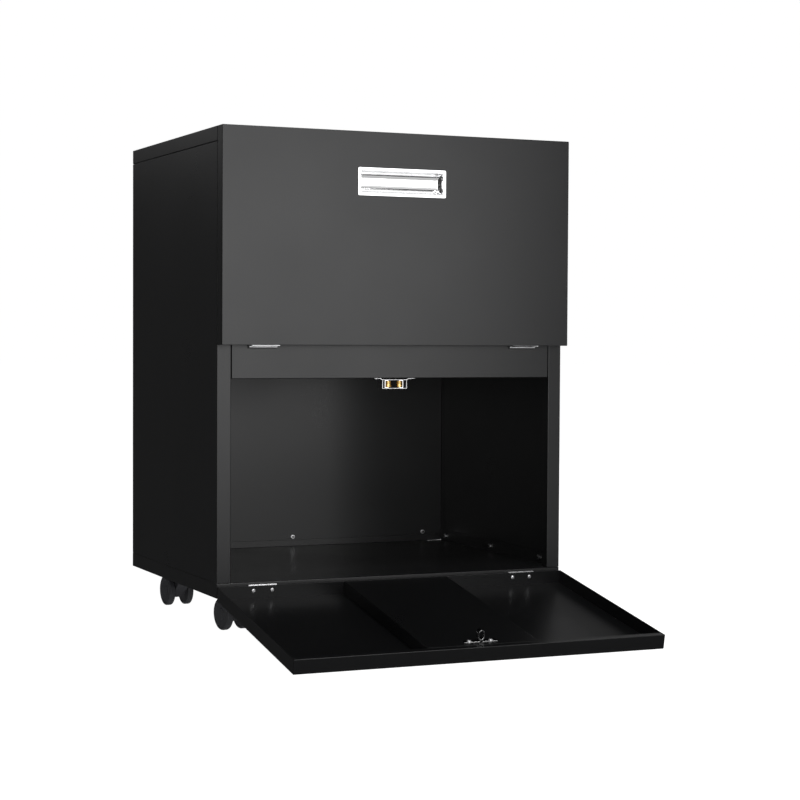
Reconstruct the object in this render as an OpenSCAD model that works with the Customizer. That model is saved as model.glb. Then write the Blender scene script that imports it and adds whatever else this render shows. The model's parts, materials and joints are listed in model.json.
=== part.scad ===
// Parcel drop box: a sheet-steel cabinet on four twin-wheel casters, with two doors that fold down.
// The upper door closes the drop compartment and the lower one the collection compartment.
// Millimetres. X runs across the cabinet, -Y is the front, Z is up and the floor is z = 0.
// The pieces are drawn from the cabinet's front face, y = 0, and moved so that the origin is
// the centre of the footprint with the lower door down. The lower door is drawn open.

/* [Cabinet] */
// Width over the side panels and over the doors
cabinet_w = 600; // [500:10:750]
// Depth from the front posts to the rear face
cabinet_d = 463; // [380:1:600]
// Height from the floor to the top
cabinet_h = 793; // [700:1:960]
// Thickness of the steel sheet
sheet = 1; // [0.8:0.1:1.2]
// Height of the top cap
cap_h = 23; // [18:1:30]
// Height of the skirt round the base tray
skirt_h = 23; // [20:1:30]
// Visible seam between stacked panels
seam = 0.5; // [0.2:0.1:0.8]

/* [Posts and flanges] */
// Width of the front posts
post_w = 23; // [18:1:32]
// Depth of the lip behind each post's inner edge
post_lip = 15; // [10:1:20]
// Width of the side panels' rear flanges
rear_flange = 28; // [20:1:35]
// Width of the side panels' top flanges and of the cap's return
top_flange = 16; // [14:1:20]
// Height of the tray's side upstands and the shelf's side flanges
upstand_h = 20; // [18:1:24]
// Height of the tray's rear upstand
rear_upstand_h = 25; // [23:1:30]
// Height of the folded hem at the foot of the back panel
hem_h = 12; // [6:1:12]

/* [Rail and shelf] */
// Height of the middle rail
rail_h = 60; // [50:1:70]
// How far the closed lower door laps over the rail
rail_lap = 17; // [12:1:22]
// Depth of the rail's top and bottom returns, and of the cap's front return
return_d = 21; // [20:1:30]
// Gap between the rail and the posts
rail_gap = 0.8; // [0.4:0.1:1]

/* [Doors] */
// Strip of rail that shows between the closed doors
door_split = 35.5; // [25:0.5:45]
// Thickness of each door
door_t = 22; // [20:0.5:28]
// Gap between a closed door and the cabinet
door_gap = 1.7; // [1.5:0.1:2]
// How far the lower door laps over the base skirt
door_lap = 2.5; // [1:0.5:4]
// Angle that the lower door is opened to
open_angle = 100.4; // [90:0.1:100.4]
// Width of the lip along each door's free edge
door_lip = 10; // [6:1:14]
// Width of the channel cover inside each door
cover_w = 180; // [165:5:240]
// Width of the cover's inward feet
cover_foot = 8; // [6:1:12]

/* [Pulls] */
// Width of a pull's rim
pull_w = 152; // [120:1:158]
// Height of a pull's rim
pull_h = 44; // [36:1:60]
// Width of the rim round the recess
pull_rim = 4; // [3:0.5:6]
// Depth of the recess
pull_depth = 14; // [10:0.5:16]
// Thickness of the pressed pull
pull_sheet = 0.8; // [0.6:0.1:1.2]
// Distance from a door's free edge to the middle of its pull
pull_drop = 78.5; // [60:0.5:120]

/* [Hinges] */
// Width of each hinge
hinge_w = 46; // [40:1:60]
// Distance from the cabinet's side to the middle of each hinge
hinge_inset = 74; // [50:1:100]
// Length of each leaf from the pin's centre
hinge_leaf = 14; // [12:0.5:14]
// Thickness of the leaves
leaf_t = 1.2; // [1:0.1:1.2]
// Radius of the knuckles
knuckle_r = 2.5; // [2.3:0.1:2.5]
// Radius of the hinge pins
pin_r = 1.2; // [1:0.1:1.3]
// Distance of the pin's centre from the cabinet's face and from the door's edge
pin_offset = 2.8; // [2.8:0.1:3]
// Distance between a leaf's two screws
hinge_screw_gap = 31; // [26:1:34]
// Distance from the pin's centre to the screws
hinge_hole = 7; // [6.5:0.5:7.5]

/* [Roller catches] */
// Outer width of a catch's box
catch_w = 43; // [40:1:50]
// Width over the catch's ears
catch_ears = 70; // [64:1:80]
// Height of a catch from its seat to its foot
catch_h = 17; // [15:0.5:20]
// Depth of a catch
catch_d = 14; // [13:0.5:15]
// Thickness of the catch's strip
catch_t = 1; // [0.8:0.1:1.2]
// Radius of the rollers
roller_r = 5; // [4.5:0.1:5]
// Radius of the rollers' and arms' pins
catch_pin_r = 1.2; // [1:0.1:1.4]
// Half the width of the strike's bulb
bulb_r = 4.5; // [4:0.1:4.8]
// Height of the strike over the cover
strike_h = 18; // [16:0.5:18]
// Width of the strike's strip along the door
strike_w = 9; // [7:0.5:9]
// Length of the strike's foot across the door
strike_foot = 53; // [48:1:60]

/* [Casters] */
// Height from the floor to the top of the caster plates
caster_h = 65; // [62:1:80]
// Diameter of the wheels
wheel_d = 52; // [44:1:54]
// Width of one wheel
wheel_w = 10.5; // [8:0.5:12]
// Width over both wheels
caster_w = 44; // [40:1:50]
// Distance from the swivel's axis back to the axle
trail = 26; // [22:1:28]
// Radius of the axle
axle_r = 3; // [2.5:0.1:3.5]
// Radius of the swivel stem
stem_r = 4; // [3.5:0.1:4.5]
// Distance from the cabinet's side to the swivel's axis
caster_inset_x = 66.5; // [62:0.5:90]
// Distance from the front and rear faces to the swivel's axis
caster_inset_y = 78; // [62:1:100]
// Side of the square caster plates
caster_plate = 40; // [38:1:46]

/* [Clearances] */
// Between a pin or axle and what turns on it
run_fit = 0.05; // [0.02:0.01:0.09]
// Between a screw or stud and its hole
screw_fit = 0.05; // [0.02:0.01:0.2]
// Between parts that pass each other
pass = 0.3; // [0.3:0.05:0.4]

/* [Hidden] */
$fn = 64;

powder_coat = [0.17, 0.175, 0.18];
bright_steel = [0.8, 0.8, 0.81];
zinc = [0.7, 0.71, 0.72];
brass = [0.8, 0.62, 0.3];
caster_plastic = [0.06, 0.06, 0.065];

// Levels of the stacked pieces
half_w = cabinet_w / 2;
base_top = caster_h + skirt_h;
cap_z = cabinet_h - cap_h;
door_h = (cabinet_h - base_top + door_lap - door_split) / 2;
lower_z = base_top - door_lap;
upper_z = cabinet_h - door_h;
rail_z = lower_z + door_h - rail_lap;
shelf_z = rail_z + rail_h;
post_x = half_w - post_w;

// The open lower door's free edge is the front of the whole box
door_reach = pin_offset + (door_h + pin_offset) * sin(open_angle)
    - (pin_offset - door_gap) * cos(open_angle);
front_y = (door_reach - cabinet_d) / 2;

// Panel fasteners: welded studs with hexagon nuts
stud_r = 2;
nut_r = 4;
nut_h = 3;
stud_l = sheet + nut_h + 1;
side_stud_front = 66;
side_stud_rear = cabinet_d - 25;
side_stud_ys = [side_stud_front, (side_stud_front + side_stud_rear) / 2, side_stud_rear];
back_stud_xs = [-half_w + 40, 0, half_w - 40];
back_stud_z = base_top + hem_h + nut_r + 1;
side_stud_zs = [base_top + upstand_h / 2, shelf_z - upstand_h / 2];
cap_stud_x = half_w - top_flange / 2;
cap_stud_ys = [2 * return_d, cabinet_d - 2 * return_d];

// Doors
skin_y = -door_gap - door_t;
cover_y = -door_gap;
pull_z = door_h - pull_drop;
hinge_x = half_w - hinge_inset;
knuckle_l = hinge_w / 3;
knuckle_gap = 0.15;
pin_head_r = 2;
pin_head_h = 0.8;

// Screws: radius of the thread, and of the pan and countersunk heads
screw_r = 2;
pan_r = 3.5;
pan_h = 2;
sunk_r = 3.3;
leaf_screw_l = 9;
leaf_screw_tip = 1.3;
strike_screw_x = strike_foot / 2 - 9;
strike_screw_l = 5;

// Catches, measured down from the surface that each hangs from
catch_front = 2.5;
catch_top = 2.2;
catch_mid = (catch_h + catch_top) / 2;
ear_slope = 3;
ear_screw_x = (catch_w / 2 + ear_slope + catch_ears / 2) / 2;
catch_screw_r = 1.5;
catch_head_r = 2.8;
catch_head_h = 1.6;
rivet_head_r = 2.2;
rivet_head_h = 0.7;
arm_t = 0.8;
roller_x = bulb_r + pass + roller_r;
roller_y = catch_front + roller_r;
pivot_x = roller_x + 3.2;
pivot_y = catch_front + catch_d - 2.5;
arm_top = catch_top + catch_t + pass;
arm_foot = catch_h - catch_t - pass;
upper_catch_z = cap_z;
lower_catch_z = rail_z;
strike_t = 0.7;
neck_r = 1.4;
neck_h = 4;

// Casters: side, front or rear distance, and the angle that each has swung to
caster_x = half_w - caster_inset_x;
caster_ys = [caster_inset_y, cabinet_d - caster_inset_y];
front_left = [-1, 0, 9];
front_right = [1, 0, -6];
rear_left = [-1, 1, 4];
rear_right = [1, 1, 3];
casters = [front_left, front_right, rear_left, rear_right];
wheel_r = wheel_d / 2;
hub_w = caster_w - 2 * wheel_w;
hood_w = hub_w - 1;
hood_r = wheel_r / 2;
plate_t = 2.5;
collar_r = 9;
collar_h = 2;
hood_top = caster_h - plate_t - collar_h - pass;
plate_screw_x = caster_plate / 2 - 5.5;
plate_screw_r = 2;
plate_screw_l = 9;
plate_head_r = 3.5;
plate_head_h = 1.6;
channel_w = caster_plate + 16;
channel_foot = 12;

// Frames of reference

module cabinet_frame() {
    translate([0, front_y, 0]) children();
}

module upper_door_frame() {
    cabinet_frame() translate([0, 0, upper_z]) children();
}

module lower_door_frame() {
    cabinet_frame()
        translate([0, -pin_offset, lower_z - pin_offset])
            rotate([open_angle, 0, 0])
                translate([0, pin_offset, pin_offset]) children();
}

module catch_frame_at(z) {
    cabinet_frame() translate([0, 0, z]) children();
}

module caster_frame(which) {
    cabinet_frame()
        translate([which[0] * caster_x, caster_ys[which[1]], 0])
            rotate([0, 0, which[2]]) children();
}

// Small shared shapes

module box(x, y, z) {
    translate([x[0], y[0], z[0]]) cube([x[1] - x[0], y[1] - y[0], z[1] - z[0]]);
}

module rod_x(r, x) {
    translate([x[0], 0, 0]) rotate([0, 90, 0]) cylinder(r = r, h = x[1] - x[0]);
}

module rod_y(r, y) {
    translate([0, y[0], 0]) rotate([-90, 0, 0]) cylinder(r = r, h = y[1] - y[0]);
}

module rod_z(r, z) {
    translate([0, 0, z[0]]) cylinder(r = r, h = z[1] - z[0]);
}

module rounded_rect(w, h, r) {
    square([w - 2 * r, h], center = true);
    square([w, h - 2 * r], center = true);
    for (x = [-1, 1], y = [-1, 1])
        translate([x * (w / 2 - r), y * (h / 2 - r)]) circle(r = r);
}

// Cabinet

module top_cap() {
    z = [cap_z, cabinet_h];
    rim = top_flange;
    color(powder_coat) cabinet_frame() {
        difference() {
            box([-half_w, half_w], [0, cabinet_d], z);
            box([-half_w + sheet, half_w - sheet], [sheet, cabinet_d - sheet],
                [cap_z + sheet, cabinet_h - sheet]);
            box([-half_w + rim, half_w - rim], [return_d, cabinet_d - rim],
                [cap_z - 1, cap_z + 2 * sheet]);
            for (x = [-1, 1])
                translate([x * ear_screw_x, catch_front + catch_d / 2, 0])
                    rod_z(catch_screw_r + screw_fit, [cap_z - 1, cap_z + 2 * sheet]);
        }
        for (x = [-1, 1], y = cap_stud_ys)
            translate([x * cap_stud_x, y, 0]) rod_z(stud_r, [cap_z - stud_l - seam, cap_z + sheet / 2]);
    }
}

module side_panel(side) {
    z = [base_top + seam, cap_z - seam];
    color(powder_coat) cabinet_frame() mirror([side > 0 ? 1 : 0, 0, 0]) {
        difference() {
            union() {
                box([-half_w, -half_w + sheet], [0, cabinet_d], z);
                box([-half_w, -post_x], [0, sheet], z);
                box([-post_x - sheet, -post_x], [0, sheet + post_lip], z);
                box([-half_w, -half_w + rear_flange], [cabinet_d - sheet, cabinet_d], z);
                box([-half_w, -half_w + top_flange], [post_lip + 2 * sheet, cabinet_d],
                    [z[1] - sheet, z[1]]);
            }
            for (y = cap_stud_ys)
                translate([-cap_stud_x, y, 0]) rod_z(stud_r + screw_fit, [z[1] - 2 * sheet, z[1] + 1]);
        }
        for (y = side_stud_ys, z = side_stud_zs)
            translate([0, y, z]) rod_x(stud_r, [-half_w + sheet / 2, -half_w + sheet + stud_l]);
    }
}

module back_panel() {
    y = cabinet_d - 2 * sheet;
    inner_w = half_w - sheet - pass;
    color(powder_coat) cabinet_frame() difference() {
        union() {
            box([-inner_w, inner_w], [y, y + sheet], [base_top + pass, cap_z - seam - sheet - pass]);
            box([-inner_w + 8, inner_w - 8], [y - sheet, y], [base_top + pass, base_top + hem_h]);
        }
        for (x = back_stud_xs)
            translate([x, 0, back_stud_z]) rod_y(stud_r + screw_fit, [y - 1, y + 2 * sheet]);
    }
}

module base_tray() {
    z = [caster_h, base_top];
    rear_x = half_w - rear_flange - pass;
    upstand_y = [return_d, cabinet_d - 2 * sheet - pass];
    color(powder_coat) cabinet_frame() {
        difference() {
            union() {
                difference() {
                    box([-half_w, half_w], [0, cabinet_d], z);
                    box([-half_w + sheet, half_w - sheet], [sheet, cabinet_d - sheet],
                        [caster_h - 1, base_top - sheet]);
                }
                box([-rear_x, rear_x], [cabinet_d - sheet, cabinet_d], [caster_h, base_top + rear_upstand_h]);
                for (side = [0, 1]) mirror([side, 0, 0])
                    box([half_w - 2 * sheet, half_w - sheet], upstand_y,
                        [base_top - sheet, base_top + upstand_h]);
            }
            for (y = side_stud_ys)
                translate([0, y, side_stud_zs[0]]) {
                    rod_x(stud_r + screw_fit, [-half_w + sheet, -half_w + 3 * sheet]);
                    rod_x(stud_r + screw_fit, [half_w - 3 * sheet, half_w - sheet]);
                }
            for (x = [-1, 1], dx = [-1, 1])
                translate([x * hinge_x + dx * hinge_screw_gap / 2, 0, lower_z - pin_offset - hinge_hole])
                    rod_y(screw_r + screw_fit, [-1, 2 * sheet]);
        }
        for (x = back_stud_xs)
            translate([x, 0, back_stud_z])
                rod_y(stud_r, [cabinet_d - sheet - stud_l, cabinet_d - sheet / 2]);
    }
}

module middle_rail() {
    end_x = post_x - rail_gap;
    color(powder_coat) cabinet_frame() difference() {
        box([-end_x, end_x], [0, return_d], [rail_z, shelf_z]);
        box([-end_x + sheet, end_x - sheet], [sheet, return_d + 1], [rail_z + sheet, shelf_z - sheet]);
        for (x = [-1, 1])
            translate([x * ear_screw_x, catch_front + catch_d / 2, 0])
                rod_z(catch_screw_r + screw_fit, [rail_z - 1, rail_z + 2 * sheet]);
        for (x = [-1, 1], dx = [-1, 1])
            translate([x * hinge_x + dx * hinge_screw_gap / 2, 0, upper_z - pin_offset + hinge_hole])
                rod_y(screw_r + screw_fit, [-1, 2 * sheet]);
        // The ends are cut back to the depth of the posts' lips
        for (x = [-1, 1])
            translate([x * end_x, sheet + post_lip + return_d / 2, (rail_z + shelf_z) / 2])
                cube([4 * sheet, return_d, rail_h - 4 * sheet], center = true);
    }
}

module middle_shelf() {
    x = half_w - sheet;
    y = [return_d + pass, cabinet_d - 2 * sheet - pass];
    z = [shelf_z - upstand_h, shelf_z];
    color(powder_coat) cabinet_frame() difference() {
        box([-x, x], y, z);
        box([-x + sheet, x - sheet], [y[0] + sheet, y[1] - sheet], [z[0] - 1, z[1] - sheet]);
        for (y = side_stud_ys, side = [-1, 1])
            translate([side * (x - sheet / 2), y, side_stud_zs[1]])
                rod_x(stud_r + screw_fit, [-sheet, sheet]);
    }
}

module caster_channels() {
    z = [caster_h, base_top - sheet];
    end_x = half_w - 3 * sheet;
    color(powder_coat) cabinet_frame() for (y = caster_ys) translate([0, y, 0]) difference() {
        union() {
            box([-end_x, end_x], [-channel_w / 2, channel_w / 2], z);
            box([-end_x, end_x], [-channel_w / 2 - channel_foot, channel_w / 2 + channel_foot],
                [z[1] - sheet, z[1]]);
        }
        box([-end_x - 1, end_x + 1], [-channel_w / 2 + sheet, channel_w / 2 - sheet],
            [z[0] + sheet, z[1] + 1]);
        for (x = [-1, 1]) translate([x * caster_x, 0, 0]) plate_screw_places()
            rod_z(plate_screw_r + screw_fit, [z[0] - 1, z[0] + 2 * sheet]);
    }
}

module nut() {
    difference() {
        cylinder(r = nut_r, h = nut_h, $fn = 6);
        translate([0, 0, -1]) cylinder(r = stud_r + screw_fit, h = nut_h + 2);
    }
}

module panel_nuts() {
    color(zinc) cabinet_frame() {
        for (y = side_stud_ys, z = side_stud_zs, side = [-1, 1])
            translate([side * (half_w - 2 * sheet), y, z]) rotate([0, -side * 90, 0]) nut();
        for (x = back_stud_xs)
            translate([x, cabinet_d - 2 * sheet, back_stud_z]) rotate([90, 0, 0]) nut();
        for (x = [-1, 1], y = cap_stud_ys)
            translate([x * cap_stud_x, y, cap_z - seam - sheet]) rotate([180, 0, 0]) nut();
    }
}

// Hinges: the fixed leaf holds the two outer knuckles and the moving leaf the middle one.
// A leaf is drawn round its pin, with the moving leaf lying towards -Y.

module knuckle(x) {
    difference() {
        rod_x(knuckle_r, x);
        rod_x(pin_r + run_fit, [x[0] - 1, x[1] + 1]);
    }
}

// Cuts away the leaf and its knuckles where the other leaf's knuckles turn
module knuckle_room(x) {
    rod_x(knuckle_r + pass, x);
}

module fixed_leaf(up) {
    half = hinge_w / 2;
    mid = knuckle_l / 2;
    color(zinc) {
        difference() {
            box([-half, half], [pin_offset - leaf_t, pin_offset], up > 0 ? [0, hinge_leaf] : [-hinge_leaf, 0]);
            knuckle_room([-mid - knuckle_gap, mid + knuckle_gap]);
            rod_x(pin_r + run_fit, [-half - 1, half + 1]);
            for (x = [-1, 1])
                translate([x * hinge_screw_gap / 2, pin_offset, up * hinge_hole])
                    sunk_screw(leaf_screw_l, screw_fit);
        }
        for (x = [-1, 1]) knuckle(x > 0 ? [mid + knuckle_gap, half] : [-half, -mid - knuckle_gap]);
    }
}

module moving_leaf() {
    half = hinge_w / 2;
    mid = knuckle_l / 2;
    color(zinc) {
        difference() {
            box([-half, half], [-hinge_leaf, 0], [pin_offset - leaf_t, pin_offset]);
            knuckle_room([mid - knuckle_gap, half + 1]);
            knuckle_room([-half - 1, -mid + knuckle_gap]);
            rod_x(pin_r + run_fit, [-half - 1, half + 1]);
            for (x = [-1, 1])
                translate([x * hinge_screw_gap / 2, -hinge_hole, 0]) rod_z(screw_r + screw_fit, [0, 2 * pin_offset]);
        }
        knuckle([-mid + knuckle_gap, mid - knuckle_gap]);
    }
}

// Countersunk screw that lies flush with a leaf's front, with its thread towards +Y
module sunk_screw(l, fit = 0) {
    rotate([-90, 0, 0]) {
        translate([0, 0, -leaf_t]) cylinder(r1 = sunk_r + fit, r2 = screw_r + fit, h = leaf_t);
        translate([0, 0, -leaf_t / 2]) cylinder(r = screw_r + fit, h = l);
    }
}

module at_hinge(side, z) {
    cabinet_frame() translate([side * hinge_x, -pin_offset, z - pin_offset]) children();
}

module hinge_pins() {
    half = hinge_w / 2 + 0.1;
    color(bright_steel) for (side = [-1, 1], z = [lower_z, upper_z]) at_hinge(side, z) {
        rod_x(pin_r, [-half, half]);
        for (x = [-1, 1]) translate([x * (half + pin_head_h / 2), 0, 0])
            rod_x(pin_head_r, [-pin_head_h / 2, pin_head_h / 2]);
    }
}

module fixed_leaf_screws() {
    color(zinc) for (side = [-1, 1], dx = [-1, 1]) {
        at_hinge(side, lower_z) translate([dx * hinge_screw_gap / 2, pin_offset, -hinge_hole])
            sunk_screw(leaf_screw_l);
        at_hinge(side, upper_z) translate([dx * hinge_screw_gap / 2, pin_offset, hinge_hole])
            sunk_screw(leaf_screw_l);
    }
}

module upper_moving_leaf(side) {
    upper_door_frame() translate([side * hinge_x, -pin_offset, -pin_offset]) moving_leaf();
}

module lower_moving_leaf(side) {
    lower_door_frame() translate([side * hinge_x, -pin_offset, -pin_offset]) moving_leaf();
}

// Doors, drawn closed with z = 0 at the hinged edge

module door_panel() {
    wall = [-half_w + sheet, half_w - sheet];
    color(powder_coat) difference() {
        union() {
            difference() {
                box([-half_w, half_w], [skin_y, cover_y], [0, door_h]);
                box(wall, [skin_y + sheet, cover_y + 1], [sheet, door_h - sheet]);
            }
            box([wall[0] + pass, wall[1] - pass], [cover_y - sheet, cover_y],
                [door_h - sheet - door_lip, door_h - sheet / 2]);
        }
        translate([0, 0, pull_z]) rotate([90, 0, 0]) linear_extrude(height = 2 * door_t + 8)
            rounded_rect(pull_w - 2 * pull_rim + 2 * pass, pull_h - 2 * pull_rim + 2 * pass, 5);
        for (side = [-1, 1], dx = [-1, 1])
            translate([side * hinge_x + dx * hinge_screw_gap / 2, -pin_offset - hinge_hole, 0])
                rod_z(screw_r + screw_fit, [-1, 2 * sheet]);
    }
}

module door_cover(strike_z) {
    depth = door_t - sheet;
    length = door_h - 2 * sheet - door_lip - 2 * pass;
    color(powder_coat) difference() {
        translate([0, cover_y, sheet + pass]) linear_extrude(height = length) difference() {
            translate([-cover_w / 2, -depth]) square([cover_w, depth]);
            translate([-cover_w / 2 + sheet, -depth + sheet]) square([cover_w - 2 * sheet, depth - 2 * sheet]);
            translate([-cover_w / 2 + cover_foot, -depth - 1])
                square([cover_w - 2 * cover_foot, 2 * sheet + 1]);
        }
        for (x = [-1, 1]) translate([x * strike_screw_x, 0, strike_z])
            rod_y(screw_r + screw_fit, [cover_y - 2 * sheet, cover_y + 1]);
    }
}

module door_pull() {
    body_w = pull_w - 2 * pull_rim;
    body_h = pull_h - 2 * pull_rim;
    t = pull_sheet;
    color(bright_steel) translate([0, skin_y, pull_z]) rotate([90, 0, 0]) difference() {
        union() {
            linear_extrude(height = t) rounded_rect(pull_w, pull_h, 3);
            translate([0, 0, -pull_depth]) linear_extrude(height = pull_depth + t / 2)
                rounded_rect(body_w, body_h, 5);
        }
        translate([0, 0, -pull_depth + t]) linear_extrude(height = pull_depth + t)
            rounded_rect(body_w - 2 * t, body_h - 2 * t, 5 - t);
    }
}

// Bent spring strip: two feet, a narrow neck and a round bulb
module strike(strike_z) {
    t = strike_t;
    bulb_h = strike_h - bulb_r;
    color(bright_steel) translate([0, cover_y, strike_z]) difference() {
        translate([0, 0, -strike_w / 2]) {
            translate([0, bulb_h, 0]) intersection() {
                difference() {
                    rod_z(bulb_r, [0, strike_w]);
                    rod_z(bulb_r - t, [-1, strike_w + 1]);
                }
                box([-bulb_r - 1, bulb_r + 1], [-t / 2, bulb_r + 1], [0, strike_w]);
            }
            for (side = [0, 1]) mirror([side, 0, 0]) linear_extrude(height = strike_w)
                polygon([[bulb_r, bulb_h], [bulb_r - t, bulb_h], [neck_r - t, neck_h],
                    [neck_r + 1, 0], [strike_foot / 2, 0], [strike_foot / 2, t],
                    [neck_r + 2, t], [neck_r, neck_h]]);
        }
        for (x = [-1, 1]) translate([x * strike_screw_x, 0, 0])
            rod_y(screw_r + screw_fit, [-1, 2 * t]);
    }
}

// Pan-head screw with its thread towards -Z, seated at z = 0
module pan_screw(r, head_r, head_h, l) {
    rod_z(head_r, [0, head_h]);
    rod_z(r, [-l, head_h / 2]);
}

module door_screws(strike_z) {
    color(zinc) {
        for (side = [-1, 1], dx = [-1, 1])
            translate([side * hinge_x + dx * hinge_screw_gap / 2, -pin_offset - hinge_hole, sheet])
                pan_screw(screw_r, pan_r, pan_h, sheet + leaf_t + leaf_screw_tip);
        for (x = [-1, 1])
            translate([x * strike_screw_x, cover_y + strike_t, strike_z]) rotate([-90, 0, 0])
                pan_screw(screw_r, pan_r, pan_h, strike_screw_l);
    }
}

upper_strike_z = upper_catch_z - catch_mid - upper_z;
lower_strike_z = lower_catch_z - catch_mid - lower_z;

// Roller catches, drawn below z = 0

module catch_frame() {
    half = catch_w / 2;
    t = catch_t;
    color(zinc) difference() {
        union() {
            difference() {
                box([-half, half], [catch_front, catch_front + catch_d], [-catch_h, -catch_top]);
                box([-half + t, half - t], [catch_front - 1, catch_front + catch_d + 1],
                    [-catch_h + t, -catch_top - t]);
            }
            for (side = [0, 1]) mirror([side, 0, 0])
                translate([0, catch_front + catch_d, 0]) rotate([90, 0, 0]) linear_extrude(height = catch_d)
                    polygon([[half - t / 2, -catch_top - t], [half - t / 2, -catch_top],
                        [half, -catch_top], [half + ear_slope, 0], [catch_ears / 2, 0],
                        [catch_ears / 2, -t], [half + ear_slope + t / 2, -t],
                        [half + t / 2, -catch_top - t]]);
        }
        for (x = [-1, 1]) {
            translate([x * pivot_x, pivot_y, 0]) rod_z(catch_pin_r + run_fit, [-catch_h - 1, 0]);
            translate([x * ear_screw_x, catch_front + catch_d / 2, 0])
                rod_z(catch_screw_r + screw_fit, [-2 * t, 1]);
        }
    }
}

module roller_arm(side) {
    outer_x = roller_x + roller_r + pass + arm_t;
    z = [-arm_foot, -arm_top];
    color(bright_steel) mirror([side > 0 ? 0 : 1, 0, 0]) {
        difference() {
            union() {
                for (zz = [z[0], z[1] - arm_t]) translate([0, 0, zz]) linear_extrude(height = arm_t) {
                    translate([roller_x, roller_y - rivet_head_r])
                        square([outer_x - roller_x, pivot_y - roller_y + 2 * rivet_head_r]);
                    translate([roller_x, roller_y]) circle(r = rivet_head_r);
                    translate([pivot_x, pivot_y]) circle(r = rivet_head_r);
                }
                box([outer_x - arm_t, outer_x], [roller_y - rivet_head_r, pivot_y + rivet_head_r], z);
            }
            translate([pivot_x, pivot_y, 0]) rod_z(catch_pin_r + run_fit, [z[0] - 1, z[1] + 1]);
        }
        translate([roller_x, roller_y, 0]) rod_z(catch_pin_r, z);
    }
}

module roller(side) {
    z = [-arm_foot + arm_t + pass / 2, -arm_top - arm_t - pass / 2];
    color(brass) translate([side * roller_x, roller_y, 0]) difference() {
        rod_z(roller_r, z);
        rod_z(catch_pin_r + run_fit, [z[0] - 1, z[1] + 1]);
    }
}

module catch_rivets() {
    color(zinc) for (z = [upper_catch_z, lower_catch_z], x = [-1, 1])
        catch_frame_at(z) translate([x * pivot_x, pivot_y, 0]) {
            rod_z(catch_pin_r, [-catch_h - rivet_head_h / 2, -catch_top + rivet_head_h / 2]);
            rod_z(rivet_head_r, [-catch_h - rivet_head_h, -catch_h]);
            rod_z(rivet_head_r, [-catch_top, -catch_top + rivet_head_h]);
        }
}

module catch_screws() {
    color(zinc) for (z = [upper_catch_z, lower_catch_z], x = [-1, 1])
        catch_frame_at(z) translate([x * ear_screw_x, catch_front + catch_d / 2, -catch_t])
            mirror([0, 0, 1]) pan_screw(catch_screw_r, catch_head_r, catch_head_h, catch_t + sheet + 3);
}

// Casters, drawn round the swivel's axis with the axle towards +Y

module plate_screw_places() {
    for (x = [-1, 1], y = [-1, 1]) translate([x * plate_screw_x, y * plate_screw_x, 0]) children();
}

module caster_plates() {
    color(zinc) for (c = casters) cabinet_frame() translate([c[0] * caster_x, caster_ys[c[1]], 0]) {
        difference() {
            translate([0, 0, caster_h - plate_t]) linear_extrude(height = plate_t)
                rounded_rect(caster_plate, caster_plate, 4);
            plate_screw_places() rod_z(plate_screw_r + screw_fit, [caster_h - 2 * plate_t, caster_h + 1]);
        }
        rod_z(collar_r, [caster_h - plate_t - collar_h, caster_h - plate_t]);
        rod_z(stem_r, [wheel_r + hood_r, caster_h - plate_t]);
    }
}

module caster_screws() {
    color(zinc) for (c = casters) cabinet_frame() translate([c[0] * caster_x, caster_ys[c[1]], 0])
        plate_screw_places() translate([0, 0, caster_h - plate_t]) mirror([0, 0, 1])
            pan_screw(plate_screw_r, plate_head_r, plate_head_h, plate_screw_l);
}

module caster_hood(which) {
    back = hood_r * sin(45) - pass;
    color(caster_plastic) caster_frame(which) difference() {
        union() {
            translate([0, trail, wheel_r]) rod_x(hood_r, [-hood_w / 2, hood_w / 2]);
            rotate([90, 0, 90]) translate([0, 0, -hood_w / 2]) linear_extrude(height = hood_w)
                polygon([[-collar_r, hood_top], [collar_r, hood_top], [trail + back, wheel_r + back],
                    [trail - back, wheel_r - back], [-collar_r, wheel_r + hood_r]]);
        }
        rod_z(stem_r + run_fit, [wheel_r + hood_r - pass, hood_top + 1]);
        translate([0, trail, wheel_r]) rod_x(axle_r + screw_fit / 2, [-hood_w, hood_w]);
    }
}

module caster_axle(which) {
    half = caster_w / 2 - 2;
    color(bright_steel) caster_frame(which) translate([0, trail, wheel_r]) rod_x(axle_r, [-half, half]);
}

// A wheel is turned with its inner side at z = 0 and its outer face at z = wheel_w
module caster_wheel(which, side) {
    bore = axle_r + run_fit;
    face = wheel_w - 1;
    rim = wheel_r - 5;
    blind = wheel_w - 2 + pass;
    color(caster_plastic) caster_frame(which)
        translate([side * hub_w / 2, trail, wheel_r]) rotate([0, side * 90, 0])
            rotate_extrude() polygon([[0, blind], [bore, blind], [bore, 0], [wheel_r - 1.5, 0],
                [wheel_r, 1.5], [wheel_r, wheel_w - 1.5], [wheel_r - 1.5, wheel_w], [rim + 1, wheel_w],
                [rim, face], [0, face]]);
}

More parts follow.
